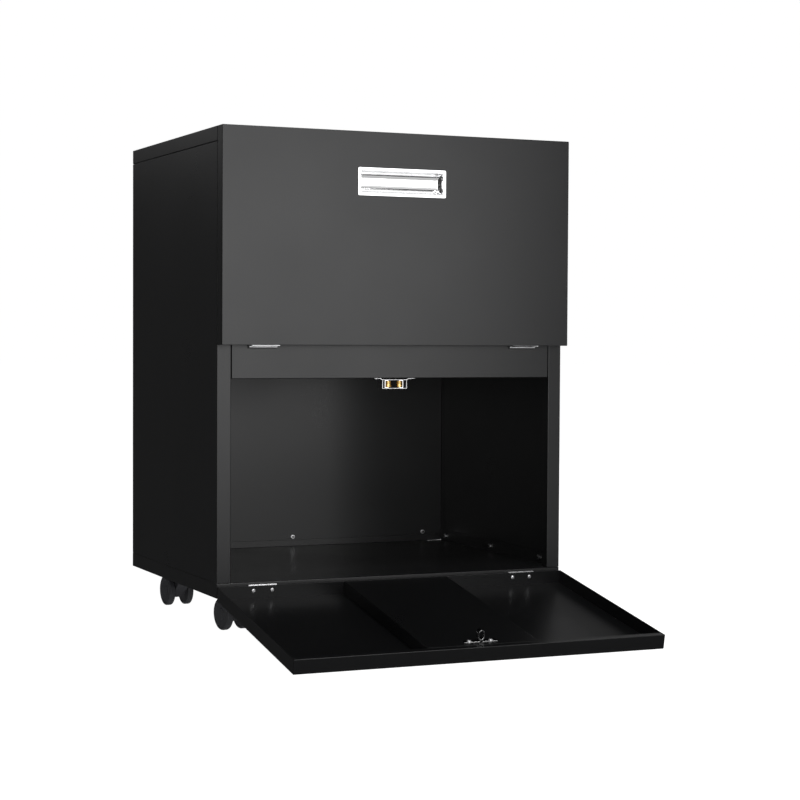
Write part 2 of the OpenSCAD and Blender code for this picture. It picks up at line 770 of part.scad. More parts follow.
top_cap();
side_panel(-1);  // left_side_panel
side_panel(1);  // right_side_panel
back_panel();
base_tray();
middle_rail();
middle_shelf();
caster_channels();
panel_nuts();
at_hinge(-1, upper_z) fixed_leaf(1);  // upper_left_fixed_leaf
at_hinge(1, upper_z) fixed_leaf(1);  // upper_right_fixed_leaf
at_hinge(-1, lower_z) fixed_leaf(-1);  // lower_left_fixed_leaf
at_hinge(1, lower_z) fixed_leaf(-1);  // lower_right_fixed_leaf
hinge_pins();
fixed_leaf_screws();
upper_door_frame() door_panel();  // upper_flap_panel
upper_door_frame() door_cover(upper_strike_z);  // upper_flap_cover
upper_door_frame() door_pull();  // upper_flap_pull
upper_door_frame() strike(upper_strike_z);  // upper_flap_strike
upper_door_frame() door_screws(upper_strike_z);  // upper_flap_screws
upper_moving_leaf(-1);  // upper_left_moving_leaf
upper_moving_leaf(1);  // upper_right_moving_leaf
lower_door_frame() door_panel();  // lower_door_panel
lower_door_frame() door_cover(lower_strike_z);  // lower_door_cover
lower_door_frame() door_pull();  // lower_door_pull
lower_door_frame() strike(lower_strike_z);  // lower_door_strike
lower_door_frame() door_screws(lower_strike_z);  // lower_door_screws
lower_moving_leaf(-1);  // lower_left_moving_leaf
lower_moving_leaf(1);  // lower_right_moving_leaf
catch_frame_at(upper_catch_z) catch_frame();  // upper_catch_frame
catch_frame_at(lower_catch_z) catch_frame();  // lower_catch_frame
catch_rivets();
catch_screws();
catch_frame_at(upper_catch_z) roller_arm(-1);  // upper_left_roller_arm
catch_frame_at(upper_catch_z) roller_arm(1);  // upper_right_roller_arm
catch_frame_at(lower_catch_z) roller_arm(-1);  // lower_left_roller_arm
catch_frame_at(lower_catch_z) roller_arm(1);  // lower_right_roller_arm
catch_frame_at(upper_catch_z) roller(-1);  // upper_left_roller
catch_frame_at(upper_catch_z) roller(1);  // upper_right_roller
catch_frame_at(lower_catch_z) roller(-1);  // lower_left_roller
catch_frame_at(lower_catch_z) roller(1);  // lower_right_roller
caster_plates();
caster_screws();
caster_hood(front_left);  // front_left_hood
caster_axle(front_left);  // front_left_axle
caster_wheel(front_left, -1);  // front_left_outer_wheel
caster_wheel(front_left, 1);  // front_left_inner_wheel
caster_hood(front_right);  // front_right_hood
caster_axle(front_right);  // front_right_axle
caster_wheel(front_right, 1);  // front_right_outer_wheel
caster_wheel(front_right, -1);  // front_right_inner_wheel
caster_hood(rear_left);  // rear_left_hood
caster_axle(rear_left);  // rear_left_axle
caster_wheel(rear_left, -1);  // rear_left_outer_wheel
caster_wheel(rear_left, 1);  // rear_left_inner_wheel
caster_hood(rear_right);  // rear_right_hood
caster_axle(rear_right);  // rear_right_axle
caster_wheel(rear_right, 1);  // rear_right_outer_wheel
caster_wheel(rear_right, -1);  // rear_right_inner_wheel
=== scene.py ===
"""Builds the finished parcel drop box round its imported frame.

The sheet-steel shells are copies of the frame's own nodes with their folds rounded. The pulls,
strikes, rollers, screws, nuts and caster wheels are modelled here, each where its node lies.
All lengths are in metres.
"""
import json
import math

import bmesh
import bpy
from mathutils import Matrix, Vector


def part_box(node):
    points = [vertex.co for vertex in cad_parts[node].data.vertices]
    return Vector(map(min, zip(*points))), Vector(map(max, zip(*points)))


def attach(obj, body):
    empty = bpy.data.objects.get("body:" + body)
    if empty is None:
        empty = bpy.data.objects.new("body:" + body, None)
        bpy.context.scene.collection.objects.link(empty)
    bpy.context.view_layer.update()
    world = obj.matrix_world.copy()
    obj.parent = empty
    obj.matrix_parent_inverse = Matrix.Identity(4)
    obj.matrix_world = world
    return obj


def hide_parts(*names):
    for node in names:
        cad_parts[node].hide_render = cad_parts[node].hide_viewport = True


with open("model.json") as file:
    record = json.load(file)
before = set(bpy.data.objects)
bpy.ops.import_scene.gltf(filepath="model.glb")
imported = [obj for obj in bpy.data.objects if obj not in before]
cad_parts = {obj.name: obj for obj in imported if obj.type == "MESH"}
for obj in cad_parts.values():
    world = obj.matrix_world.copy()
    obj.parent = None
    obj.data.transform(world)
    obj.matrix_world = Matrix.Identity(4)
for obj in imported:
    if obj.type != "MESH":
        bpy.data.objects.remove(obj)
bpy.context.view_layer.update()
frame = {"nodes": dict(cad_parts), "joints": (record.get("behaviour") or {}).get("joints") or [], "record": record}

bl_info = {
    "name": "Parcel drop box",
    "version": (1, 0, 0),
    "blender": (4, 5, 0),
    "location": "3D View > Sidebar > Drop box",
    "description": "Builds a sheet-steel parcel drop box with its finishes and its stage",
    "category": "Object",
}

BODIES = frame["record"]["behaviour"]["bodies"]
JOINTS = {joint["name"]: joint for joint in frame["joints"]}
SLOTS = {part["node"]: part["material_slot"] for part in frame["record"]["subparts"]}
MM = 0.001
WELD = 0.001 * MM    # vertices nearer than this are one
CORNERS = ("front_left", "front_right", "rear_left", "rear_right")


# Where things are

def body_of(node):
    return next(body for body, members in BODIES.items() if node in members)


def door_turn(node):
    """The turn that takes a node from its closed place to where it rests."""
    if body_of(node) != "lower_door":
        return Matrix.Identity(4)
    hinge = JOINTS["lower_door_hinge"]
    pin = Vector(hinge["pos_m"])
    angle = math.radians(hinge["range_deg"][1])
    return (Matrix.Translation(pin) @ Matrix.Rotation(angle, 4, "X") @ Matrix.Translation(-pin))


def solids(node):
    """The lowest and highest corner of each separate solid of a node, with its door closed."""
    back = door_turn(node).inverted()
    form = bmesh.new()
    form.from_mesh(frame["nodes"][node].data)
    bmesh.ops.remove_doubles(form, verts=form.verts, dist=WELD)
    boxes = []
    waiting = set(form.verts)
    while waiting:
        island = [waiting.pop()]
        for vert in island:
            for edge in vert.link_edges:
                other = edge.other_vert(vert)
                if other in waiting:
                    waiting.remove(other)
                    island.append(other)
        places = [back @ vert.co for vert in island]
        low = Vector([min(place[i] for place in places) for i in range(3)])
        high = Vector([max(place[i] for place in places) for i in range(3)])
        boxes.append((low, high))
    form.free()
    return sorted(boxes, key=lambda box: tuple(round(value, 5) for value in box[0]))


def centred(low, high, **given):
    """The place in the middle of a box, with any coordinate that is given in its stead."""
    place = (low + high) / 2
    for axis, value in given.items():
        setattr(place, axis, value)
    return Matrix.Translation(place)


# Outlines

def arc(span, steps):
    """The angles of equal steps up to a span."""
    return [span * step / steps for step in range(1, steps + 1)]


def mirrored(outline, height):
    """An outline of (radius, height) points and its mirror image about half a height."""
    return outline + [(radius, height - rise) for radius, rise in reversed(outline)]


# Modelling

def select_only(piece):
    if bpy.context.mode != "OBJECT":
        bpy.ops.object.mode_set(mode="OBJECT")
    bpy.ops.object.select_all(action="DESELECT")
    piece.select_set(True)
    bpy.context.view_layer.objects.active = piece


def edit(piece):
    select_only(piece)
    bpy.ops.object.mode_set(mode="EDIT")
    bpy.ops.mesh.select_all(action="SELECT")


def leave_edit():
    bpy.ops.object.mode_set(mode="OBJECT")


def extrude(offset):
    bpy.ops.mesh.extrude_region_move(TRANSFORM_OT_translate={"value": offset})


def apply_modifier(piece, kind, **settings):
    select_only(piece)
    modifier = piece.modifiers.new(kind.title(), kind)
    for name, value in settings.items():
        setattr(modifier, name, value)
    bpy.ops.object.modifier_apply(modifier=modifier.name)


def new_line(name, points):
    """A line of edges through points, drawn from one vertex. It is left in edit mode."""
    bpy.ops.object.select_all(action="DESELECT")
    bpy.ops.mesh.primitive_plane_add(size=MM, location=(0, 0, 0))
    piece = bpy.context.object
    piece.name = name
    edit(piece)
    bpy.ops.mesh.merge(type="CENTER")
    bpy.ops.transform.translate(value=points[0])
    for start, end in zip(points, points[1:]):
        extrude(Vector(end) - Vector(start))
    bpy.ops.mesh.select_all(action="SELECT")
    return piece


def turned(name, outline, steps=48):
    """A solid turned about Z from (radius, height) points that start and end on the axis."""
    seam = 0.005 * MM
    piece = new_line(name, [(radius, 0, height) for radius, height in outline])
    bpy.ops.mesh.spin(steps=steps, angle=math.tau, center=(0, 0, 0), axis=(0, 0, 1))
    bpy.ops.mesh.select_all(action="SELECT")
    bpy.ops.mesh.remove_doubles(threshold=seam)
    bpy.ops.mesh.normals_make_consistent(inside=False)
    leave_edit()
    return piece


def bent_strip(name, path, width, thickness):
    """A strip of sheet bent along (x, y) points, its width along Z about z = 0."""
    piece = new_line(name, [(x, y, -width / 2) for x, y in path])
    extrude((0, 0, width))
    bpy.ops.mesh.select_all(action="SELECT")
    bpy.ops.mesh.normals_make_consistent(inside=False)
    leave_edit()
    apply_modifier(piece, "SOLIDIFY", thickness=thickness, offset=0, use_even_offset=True)
    rounding = 0.3 * thickness
    apply_modifier(piece, "BEVEL", width=rounding, segments=2, limit_method="ANGLE",
                   angle_limit=math.radians(60))
    return piece


def own_copy(piece, name):
    double = bpy.data.objects.new(name, piece.data.copy())
    bpy.context.scene.collection.objects.link(double)
    return double


def settle(piece, matrix):
    """Moves a piece to its place and puts that place in its mesh."""
    select_only(piece)
    piece.matrix_world = matrix
    bpy.ops.object.transform_apply(location=True, rotation=True, scale=True)


def joined(name, pieces):
    select_only(pieces[0])
    for piece in pieces:
        piece.select_set(True)
    bpy.ops.object.join()
    bpy.context.object.name = name
    return bpy.context.object


def pointing(direction):
    """The turn that takes +Z to a direction."""
    return Vector((0, 0, 1)).rotation_difference(Vector(direction)).to_matrix().to_4x4()


def finish(piece, material, *nodes, smooth=35):
    """Gives a piece its material and stands it for its nodes, on their body.

    Edges that turn by more than smooth degrees stay sharp, and large faces lead the shading.
    """
    piece.data.materials.clear()
    piece.data.materials.append(material)
    select_only(piece)
    bpy.ops.object.shade_smooth_by_angle(angle=math.radians(smooth))
    apply_modifier(piece, "WEIGHTED_NORMAL", weight=100, keep_sharp=True)
    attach(piece, body_of(nodes[0]))
    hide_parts(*nodes)
    return piece


def face_reach(face, edge):
    """How wide a face is at the middle of one of its edges."""
    loop = next(loop for loop in edge.link_loops if loop.face == face)
    start, end = loop.vert.co, loop.link_loop_next.vert.co
    along = (end - start).normalized()
    inward = face.normal.cross(along)
    middle = (start + end) / 2
    shortest = 0.01 * MM    # anything less lies on the edge, or behind it
    depths = []
    for other in face.edges:
        first, second = (vert.co - middle for vert in other.verts)
        side, far_side = first.dot(along), second.dot(along)
        if other == edge or side * far_side > 0 or side == far_side:
            continue
        depths.append(first.lerp(second, side / (side - far_side)).dot(inward))
    return min((depth for depth in depths if depth > shortest), default=0)


def weigh_edges(piece, fold, ease):
    """Marks each sharp outer edge for the bevel: folds in full, cut edges of the sheet by less."""
    sharp = math.radians(30)
    folded_face = 3 * fold
    form = bmesh.new()
    form.from_mesh(piece.data)
    weight = form.edges.layers.float.new("bevel_weight_edge")
    for edge in form.edges:
        if len(edge.link_faces) != 2 or edge.calc_face_angle_signed(0) < sharp:
            continue
        if edge.calc_length() < ease:
            continue
        narrow = min(face_reach(face, edge) for face in edge.link_faces)
        edge[weight] = 1 if narrow > folded_face else ease / fold
    form.to_mesh(piece.data)
    form.free()


def eased_copy(node, fold, ease, clamp=True):
    """A copy of a node with its folds rounded and its cut edges eased."""
    flat = math.radians(0.5)
    piece = own_copy(frame["nodes"][node], node + "_finished")
    edit(piece)
    bpy.ops.mesh.remove_doubles(threshold=WELD)
    bpy.ops.mesh.dissolve_limited(angle_limit=flat)
    leave_edit()
    weigh_edges(piece, fold, ease)
    apply_modifier(piece, "BEVEL", width=fold, segments=3, limit_method="WEIGHT",
                   use_clamp_overlap=clamp, miter_outer="MITER_ARC")
    return piece


# Materials

class Socket:
    """A shader socket that takes Python's operators."""

    def __init__(self, paint, socket):
        self.paint = paint
        self.socket = socket

    def work(self, operation, first, second):
        return self.paint.add("ShaderNodeMath", {"operation": operation}, {0: first, 1: second})

    def __add__(self, other):
        return self.work("ADD", self, other)

    def __radd__(self, other):
        return self.work("ADD", other, self)

    def __sub__(self, other):
        return self.work("SUBTRACT", self, other)

    def __rsub__(self, other):
        return self.work("SUBTRACT", other, self)

    def __mul__(self, other):
        return self.work("MULTIPLY", self, other)

    def __rmul__(self, other):
        return self.work("MULTIPLY", other, self)


class Paint:
    """One material: its shader, its coordinates and the nodes that feed it."""

    def __init__(self, name, **constants):
        self.material = bpy.data.materials.new(name)
        self.material.use_nodes = True
        self.tree = self.material.node_tree
        self.shader = self.tree.nodes["Principled BSDF"]
        for socket, value in constants.items():
            self.shader.inputs[socket.replace("_", " ")].default_value = value
        self.place = self.add("ShaderNodeTexCoord", output="Object")

    def add(self, kind, settings=None, inputs=None, output=0):
        """Adds a node, with its settings first, then its inputs, and returns one of its outputs."""
        node = self.tree.nodes.new(kind)
        for name, value in (settings or {}).items():
            setattr(node, name, value)
        for name, value in (inputs or {}).items():
            if isinstance(value, Socket):
                self.tree.links.new(value.socket, node.inputs[name])
            else:
                node.inputs[name].default_value = value
        return Socket(self, node.outputs[output])

    def feed(self, name, value):
        self.tree.links.new(value.socket, self.shader.inputs[name])

    def stretched(self, scale):
        return self.add("ShaderNodeMapping", inputs={"Vector": self.place, "Scale": scale})

    def noise(self, size, detail=2.0, roughness=0.5, vector=None):
        """A noise between 0 and 1 whose lumps measure about size metres."""
        return self.add("ShaderNodeTexNoise", inputs={
            "Vector": vector or self.place, "Scale": 1 / size, "Detail": detail,
            "Roughness": roughness})

    def ramp(self, value, low, high):
        """0 up to low, 1 from high and a smooth step between them."""
        return self.add("ShaderNodeMapRange", {"interpolation_type": "SMOOTHSTEP"}, {
            "Value": value, "From Min": low, "From Max": high})

    def blend(self, amount, first, second):
        return self.add("ShaderNodeMix", {"data_type": "RGBA"}, {
            "Factor": amount, 6: (*first, 1.0), 7: (*second, 1.0)}, output=2)

    def bump(self, height, depth):
        self.feed("Normal", self.add("ShaderNodeBump", inputs={
            "Height": height, "Distance": depth, "Strength": 1.0}))


def shade(colour, share, lift=0.0):
    """A colour with each channel taken to a share of it, and lifted."""
    return tuple(channel * share + lift for channel in colour)


def powder_coat(look):
    """Satin powder coat: fine orange peel, faint clouding and a little settled dust."""
    paint = Paint("powder_coat", IOR=1.5)
    cloud = paint.noise(140 * MM, detail=3.0)
    peel = paint.noise(1.6 * MM)
    pore = paint.noise(0.45 * MM, detail=1.0)
    dust = paint.ramp(paint.noise(6 * MM, detail=4.0, roughness=0.7), low=0.62, high=0.78)
    deep, dusty = shade(look.coat, 0.86), shade(look.coat, 1.22)
    paint.feed("Base Color", paint.blend(cloud * 0.5 + dust * 0.25, deep, dusty))
    clouded, peeled = (cloud - 0.5) * 0.10, (peel - 0.5) * 0.06
    paint.feed("Roughness", look.coat_roughness + clouded + peeled + dust * 0.08)
    paint.bump(peel + pore * 0.35, depth=look.peel_depth)
    return paint.material


def polished_steel(look):
    """Bright polished stainless: faint lengthwise polishing lines and fingerprints."""
    paint = Paint("polished_stainless", Metallic=1.0)
    lines = paint.noise(0.5 * MM, vector=paint.stretched((0.03, 1.0, 1.0)))
    smudge = paint.ramp(paint.noise(18 * MM, detail=3.0), low=0.45, high=0.75)
    paint.feed("Base Color", paint.blend(smudge * 0.4, look.steel, shade(look.steel, 0.96)))
    paint.feed("Roughness", 0.09 + lines * 0.05 + smudge * 0.03)
    paint.bump(lines, depth=0.004 * MM)
    return paint.material


def zinc_plate(look):
    """Bright zinc plating: a cloudy film with fine scuffs."""
    paint = Paint("zinc_plate", Metallic=1.0)
    cloud = paint.noise(5 * MM, detail=3.0)
    scratch = paint.noise(0.7 * MM, detail=4.0, roughness=0.7,
                          vector=paint.stretched((1.0, 0.25, 1.0)))
    scuff = paint.ramp(scratch, low=0.5, high=0.8)
    paint.feed("Base Color", paint.blend(cloud, shade(look.zinc, 0.84), look.zinc))
    paint.feed("Roughness", 0.24 + cloud * 0.14 + scuff * 0.12)
    paint.bump(scuff, depth=0.01 * MM)
    return paint.material


def turned_brass(look):
    """Brass rollers: turning rings round the roller and a little tarnish."""
    paint = Paint("turned_brass", Metallic=1.0)
    rings = paint.noise(0.3 * MM, detail=1.0, vector=paint.stretched((0.05, 0.05, 1.0)))
    tarnish = paint.noise(4 * MM, detail=3.0)
    tarnished = tuple(channel * share for channel, share in zip(look.brass, (0.78, 0.66, 0.5)))
    paint.feed("Base Color", paint.blend(tarnish, look.brass, tarnished))
    paint.feed("Roughness", 0.16 + rings * 0.10 + tarnish * 0.12)
    paint.bump(rings, depth=0.008 * MM)
    return paint.material


def moulded_nylon(look):
    """Black nylon casters: a fine spark-eroded texture with floor dust on it."""
    paint = Paint("moulded_nylon", IOR=1.48)
    grain = paint.noise(0.5 * MM)
    dust = paint.ramp(paint.noise(5 * MM, detail=4.0, roughness=0.7), low=0.5, high=0.75)
    paint.feed("Base Color", paint.blend(dust * 0.4, look.nylon, shade(look.nylon, 1.9, lift=0.01)))
    paint.feed("Roughness", 0.46 + grain * 0.1 + dust * 0.14)
    paint.bump(grain, depth=0.03 * MM)
    return paint.material


MAKERS = {
    "powder_coat": powder_coat,
    "stainless": polished_steel,
    "zinc": zinc_plate,
    "brass": turned_brass,
    "caster_plastic": moulded_nylon,
}
MADE = {}


def material_for(node):
    """The material of a node's slot, made once."""
    slot = SLOTS[node]
    if slot not in MADE:
        MADE[slot] = MAKERS[slot](bpy.context.scene.drop_box_look)
    return MADE[slot]


# Settings

def colour(name, text, default):
    return bpy.props.FloatVectorProperty(name=name, description=text, subtype="COLOR", size=3,
                                         min=0, max=1, default=default)


class DropBoxLook(bpy.types.PropertyGroup):
    """Colours and surfaces."""
    coat: colour("Powder coat", "Colour of the sheet steel", (0.0045, 0.0046, 0.005))
    steel: colour("Stainless", "Colour of the pulls and strikes", (0.86, 0.86, 0.865))
    zinc: colour("Zinc", "Colour of hinges, nuts and screws", (0.70, 0.70, 0.71))
    brass: colour("Brass", "Colour of the catch rollers", (0.90, 0.66, 0.28))
    nylon: colour("Nylon", "Colour of the casters", (0.028, 0.0285, 0.032))
    coat_roughness: bpy.props.FloatProperty(
        name="Coat roughness", description="Roughness of the powder coat",
        min=0.1, max=1, default=0.30)
    peel_depth: bpy.props.FloatProperty(
        name="Peel depth", description="Height of the coat's orange peel", subtype="DISTANCE",
        min=0, max=0.001, default=0.012 * MM)


class DropBoxSizes(bpy.types.PropertyGroup):
    """Sizes of the small forms that the frame leaves plain."""
    fold: bpy.props.FloatProperty(
        name="Fold radius", description="Outer radius of the sheet's folds", subtype="DISTANCE",
        min=0.0002, max=0.002, default=1.2 * MM)
    edge: bpy.props.FloatProperty(
        name="Edge break", description="Rounding of the sheet's cut edges", subtype="DISTANCE",
        min=0.0001, max=0.0005, default=0.3 * MM)
    rim: bpy.props.FloatProperty(
        name="Pull rim", description="Width of a pull's flat rim", subtype="DISTANCE",
        min=0.002, max=0.006, default=4 * MM)
    sheet: bpy.props.FloatProperty(
        name="Pull sheet", description="Thickness of a pull's sheet", subtype="DISTANCE",
        min=0.0005, max=0.0015, default=0.8 * MM)
    strip: bpy.props.FloatProperty(
        name="Strike strip", description="Thickness of a strike's spring strip", subtype="DISTANCE",
        min=0.0004, max=0.001, default=0.7 * MM)


class DropBoxStage(bpy.types.PropertyGroup):
    """The camera and the studio."""
    eye: bpy.props.FloatVectorProperty(
        name="Eye", description="Place of the camera", subtype="TRANSLATION", size=3,
        default=(-1.2511, -2.8972, 0.47305))
    yaw: bpy.props.FloatProperty(
        name="Yaw", description="Turn of the camera towards +X", subtype="ANGLE",
        default=math.radians(23.961))
    pitch: bpy.props.FloatProperty(
        name="Pitch", description="Tilt of the camera below level", subtype="ANGLE",
        default=math.radians(1.915))
    roll: bpy.props.FloatProperty(
        name="Roll", description="Roll of the camera", subtype="ANGLE",
        default=math.radians(0.299))
    lens: bpy.props.FloatProperty(
        name="Lens", description="Focal length on a 36 mm sensor, in millimetres",
        min=10, max=300, default=87.1)
    key: bpy.props.FloatProperty(
        name="Key light", description="Power of the front light, in watts",
        min=0, max=2000, default=34)
    fill: bpy.props.FloatProperty(
        name="Surroundings", description="Strength of the room's soft light",
        min=0, max=3, default=0.04)


# Operators

class DROPBOX_OT_shells(bpy.types.Operator):
    """Rounds the folds of the cabinet's and the doors' sheet steel"""
    bl_idname = "dropbox.shells"
    bl_label = "Sheet-steel shells"

    def execute(self, context):
        sizes = context.scene.drop_box_sizes
        for node, slot in SLOTS.items():
            if slot == "powder_coat":
                shell = eased_copy(node, sizes.fold, sizes.edge, clamp=False)
                finish(shell, material_for(node), node)
        return {"FINISHED"}


class DROPBOX_OT_pulls(bpy.types.Operator):
    """Presses a scooped stainless pull for each door"""
    bl_idname = "dropbox.pulls"
    bl_label = "Recessed pulls"

    def execute(self, context):
        for node in ("upper_flap_pull", "lower_door_pull"):
            low, high = solids(node)[0]
            piece = self.press(node + "_pressed", high - low, context.scene.drop_box_sizes)
            settle(piece, door_turn(node) @ centred(low, high, y=low.y))
            finish(piece, material_for(node), node, smooth=50)
        return {"FINISHED"}

    def press(self, name, size, sizes):
        """A rim in the plane y = 0 round a trough that is scooped towards +Y."""
        rim, sheet = sizes.rim, sizes.sheet
        corner, clearance = 2 * MM, 0.2 * MM
        hair = 0.02 * MM       # how far the trough's mouth is first set in from the rim's edge
        end_lean = 7.5 * MM    # how far each end leans in, down at the floor
        floor_share = 0.12     # the floor's height as a share of the mouth's
        wall_curve, end_curve, floor_curve = 0.75, 0.6, 1.15    # 1 is a quarter ellipse
        inner = Vector((size.x - 2 * (rim + sheet), 0, size.z - 2 * (rim + sheet)))
        depth = size.y - sheet - clearance
        bpy.ops.object.select_all(action="DESELECT")
        bpy.ops.mesh.primitive_plane_add(size=1, rotation=(math.pi / 2, 0, 0))
        piece = bpy.context.object
        piece.name = name
        bpy.ops.object.transform_apply(location=True, rotation=True, scale=True)
        edit(piece)
        bpy.ops.transform.resize(value=(size.x, 1, size.z))
        bpy.ops.mesh.bevel(offset=corner, segments=6, affect="VERTICES")
        bpy.ops.mesh.inset(thickness=hair)
        bpy.ops.transform.resize(
            value=(inner.x / (size.x - 2 * hair), 1, inner.z / (size.z - 2 * hair)))
        width, height, sunk = inner.x, inner.z, 0
        for angle in arc(math.pi / 2, 14):
            closing = floor_share + (1 - floor_share) * math.cos(angle) ** wall_curve
            next_height = inner.z * closing
            next_width = inner.x - 2 * end_lean * (1 - math.cos(angle) ** end_curve)
            next_sunk = depth * math.sin(angle) ** floor_curve
            extrude((0, next_sunk - sunk, 0))
            bpy.ops.transform.resize(value=(next_width / width, 1, next_height / height))
            width, height, sunk = next_width, next_height, next_sunk
        leave_edit()
        apply_modifier(piece, "SOLIDIFY", thickness=sheet, offset=-1, use_even_offset=True)
        apply_modifier(piece, "BEVEL", width=0.3 * MM, segments=3, limit_method="ANGLE",
                       angle_limit=math.radians(50))
        return piece


class DROPBOX_OT_strikes(bpy.types.Operator):
    """Bends the spring strip of each door's strike"""
    bl_idname = "dropbox.strikes"
    bl_label = "Spring strikes"

    def execute(self, context):
        strip = context.scene.drop_box_sizes.strip
        for node in ("upper_flap_strike", "lower_door_strike"):
            low, high = solids(node)[0]
            size = high - low
            path = self.outline(size.x / 2, size.y, strip)
            piece = bent_strip(node + "_bent", path, size.z, strip)
            settle(piece, door_turn(node) @ centred(low, high, y=low.y))
            finish(piece, material_for(node), node, smooth=50)
        return {"FINISHED"}

    def outline(self, foot, height, strip):
        """Foot, neck, pointed-oval bulb, neck and foot, through the middle of the strip."""
        half = strip / 2
        bulb, neck, neck_height = 4.5 * MM - half, 1.4 * MM - half, 4 * MM
        bend, bend_rise = 1.3 * MM, 0.4 * MM    # where a foot turns up into the neck
        flare = 0.3 * MM                        # how much wider the neck is, half way up
        top = height - half
        right = [(foot, half), (neck + 2 * bend, half), (neck + bend, half + bend_rise),
                 (neck + flare, neck_height * 0.55), (neck, neck_height)]
        for angle in arc(math.pi, 12):
            rise = (1 - math.cos(angle)) / 2
            swell = neck * (1 - rise) + bulb * math.sin(angle) ** 0.85 * (1 - 0.12 * rise)
            right.append((max(swell, 0), neck_height + (top - neck_height) * rise))
        left = [(-x, y) for x, y in reversed(right[:-1])]
        return right[:-1] + [(0, top)] + left


class DROPBOX_OT_catches(bpy.types.Operator):
    """Finishes the roller catches: frames, sprung arms and turned rollers"""
    bl_idname = "dropbox.catches"
    bl_label = "Roller catches"

    def execute(self, context):
        for level in ("upper", "lower"):
            yoke = level + "_catch_frame"
            finish(eased_copy(yoke, 0.5 * MM, 0.25 * MM), material_for(yoke), yoke)
            for side in ("left", "right"):
                arm = f"{level}_{side}_roller_arm"
                finish(eased_copy(arm, 0.3 * MM, 0.15 * MM), material_for(arm), arm)
                self.roller(f"{level}_{side}_roller")
        return {"FINISHED"}

    def roller(self, node):
        """A bored roller with a waist, a rounded edge and a dished face at each end."""
        low, high = solids(node)[0]
        radius, tall = (high.x - low.x) / 2, high.z - low.z
        pin, edge, dish = 1.25 * MM, 0.6 * MM, 0.2 * MM
        waist = radius - 0.35 * MM
        half = [(pin, 0), (pin + edge, 0), (pin + edge, dish), (radius - edge * 1.5, dish),
                (radius - edge, 0), (radius, edge), (radius, tall * 0.30), (waist, tall * 0.36)]
        piece = turned(node + "_turned", mirrored(half, tall) + [(pin, 0)])
        settle(piece, centred(low, high, z=low.z))
        finish(piece, material_for(node), node)


class DROPBOX_OT_hinges(bpy.types.Operator):
    """Finishes the hinge leaves, knuckles and riveted pins"""
    bl_idname = "dropbox.hinges"
    bl_label = "Hinges"

    def execute(self, context):
        for node in SLOTS:
            if node.endswith("_leaf"):
                finish(eased_copy(node, 0.3 * MM, 0.2 * MM), material_for(node), node)
        node = "hinge_pins"
        pins = [self.pin(low, high) for low, high in solids(node)]
        finish(joined(node + "_riveted", pins), material_for(node), node)
        return {"FINISHED"}

    def pin(self, low, high):
        """A rod with a domed rivet head at each end."""
        head, rod, dome = (high.y - low.y) / 2, 1.2 * MM, 0.8 * MM
        length = high.x - low.x
        half = [(0, 0), (head * 0.55, dome * 0.12), (head * 0.86, dome * 0.45), (head, dome),
                (rod, dome)]
        piece = turned("hinge_pin", mirrored(half, length), 32)
        settle(piece, centred(low, high, x=low.x) @ pointing((1, 0, 0)))
        return piece


